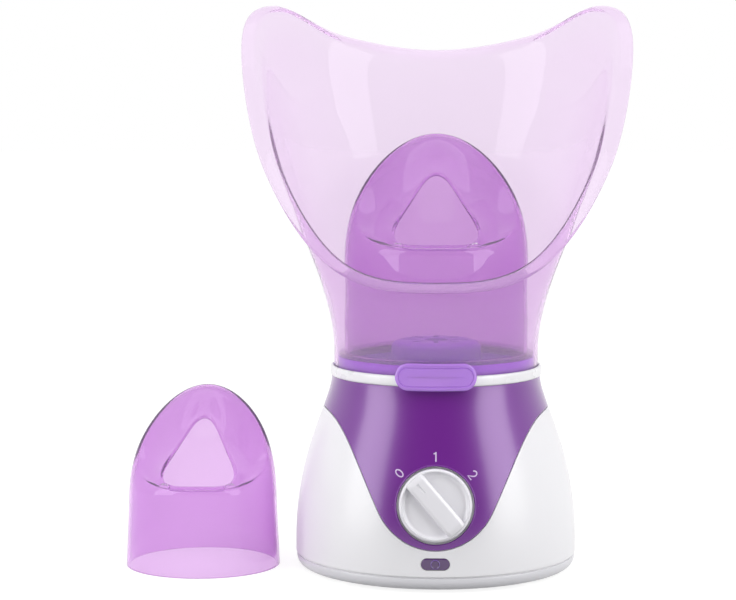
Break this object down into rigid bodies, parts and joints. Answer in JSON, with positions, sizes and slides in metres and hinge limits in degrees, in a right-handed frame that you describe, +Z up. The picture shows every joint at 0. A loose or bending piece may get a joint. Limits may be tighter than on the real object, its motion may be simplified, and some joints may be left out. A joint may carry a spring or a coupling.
{
  "type": "facial steamer",
  "caption": "Table-top facial steamer: heated water cup in a round casing, rotary switch, clear lift-off face mask, nose hood and a spare nasal mask.",
  "frame": {"origin": "on the table, under the middle of the round base", "axes": "+Z up, front (knob and thumb tab) towards -Y, +X to the right seen from the front"},
  "size_m": [0.255, 0.1571, 0.2821],
  "materials": {
    "white_plastic": "glossy moulded ABS",
    "violet_cover": "pearl violet, high gloss",
    "base_plastic": "glossy moulded ABS",
    "foot_rubber": "soft matt",
    "screw_steel": "zinc plated",
    "cup_metal": "anodised",
    "silicone": "matt silicone",
    "heater_ceramic": "matt ceramic in metal case",
    "clamp_metal": "pressed sheet",
    "switch_body": "phenolic",
    "fuse_sleeve": "woven glass sleeve",
    "violet_inner": "dark violet polypropylene",
    "knob_plastic": "glossy moulded ABS",
    "lens_violet": "tinted polycarbonate",
    "lamp_amber": "neon pilot lamp",
    "nylon": "nylon",
    "brass": "turned",
    "wire_brown": "PVC",
    "wire_white": "silicone sleeve",
    "wire_red": "PVC",
    "clear_lavender": "clear tinted plastic",
    "clear_violet": "clear tinted plastic"
  },
  "bodies": {
    "base": {"casing": "white_plastic", "front_cover": "violet_cover", "bottom_cover": "base_plastic", "rubber_feet": "foot_rubber", "cover_screws": "screw_steel", "collar_ring": "white_plastic", "collar_screws": "screw_steel", "heating_cup": "cup_metal", "cup_seal": "silicone", "heater_plate": "heater_ceramic", "heater_clamp": "clamp_metal", "clamp_screws": "screw_steel", "thermostat": "switch_body", "thermal_fuse": "fuse_sleeve", "steam_cap": "violet_inner", "rotary_switch": "switch_body", "switch_nut": "screw_steel", "indicator_lens": "lens_violet", "lamp_bezel": "lens_violet", "pilot_lamp": "lamp_amber", "terminal_block": "nylon", "terminal_screws": "brass", "cord_gland": "base_plastic", "gland_nut": "base_plastic", "supply_wires": "wire_brown", "heater_wires": "wire_white", "lamp_wires": "wire_red"},
    "knob": {"control_knob": "knob_plastic", "switch_shaft": "screw_steel"},
    "face_mask": {"face_mask": "clear_lavender"},
    "nose_hood": {"nose_hood": "clear_violet"},
    "nasal_mask": {"nasal_mask": "clear_violet"}
  },
  "joints": [
    {"name": "knob_turn", "type": "hinge", "parent": "base", "child": "knob", "pos_m": [0, -0.06838, 0.0427], "axis": [0, 0.9836, -0.1805], "range_deg": [0, 95]},
    {"name": "face_mask_lift", "type": "slide", "parent": "base", "child": "face_mask", "axis": [0, 0, 1], "range_m": [0, 0.14]},
    {"name": "nose_hood_lift", "type": "slide", "parent": "base", "child": "nose_hood", "axis": [0, 0, 1], "range_m": [0, 0.185]},
    {"name": "nasal_mask_lift", "type": "slide", "parent": "base", "child": "nasal_mask", "axis": [0, 0, 1], "range_m": [0, 0.06]}
  ]
}
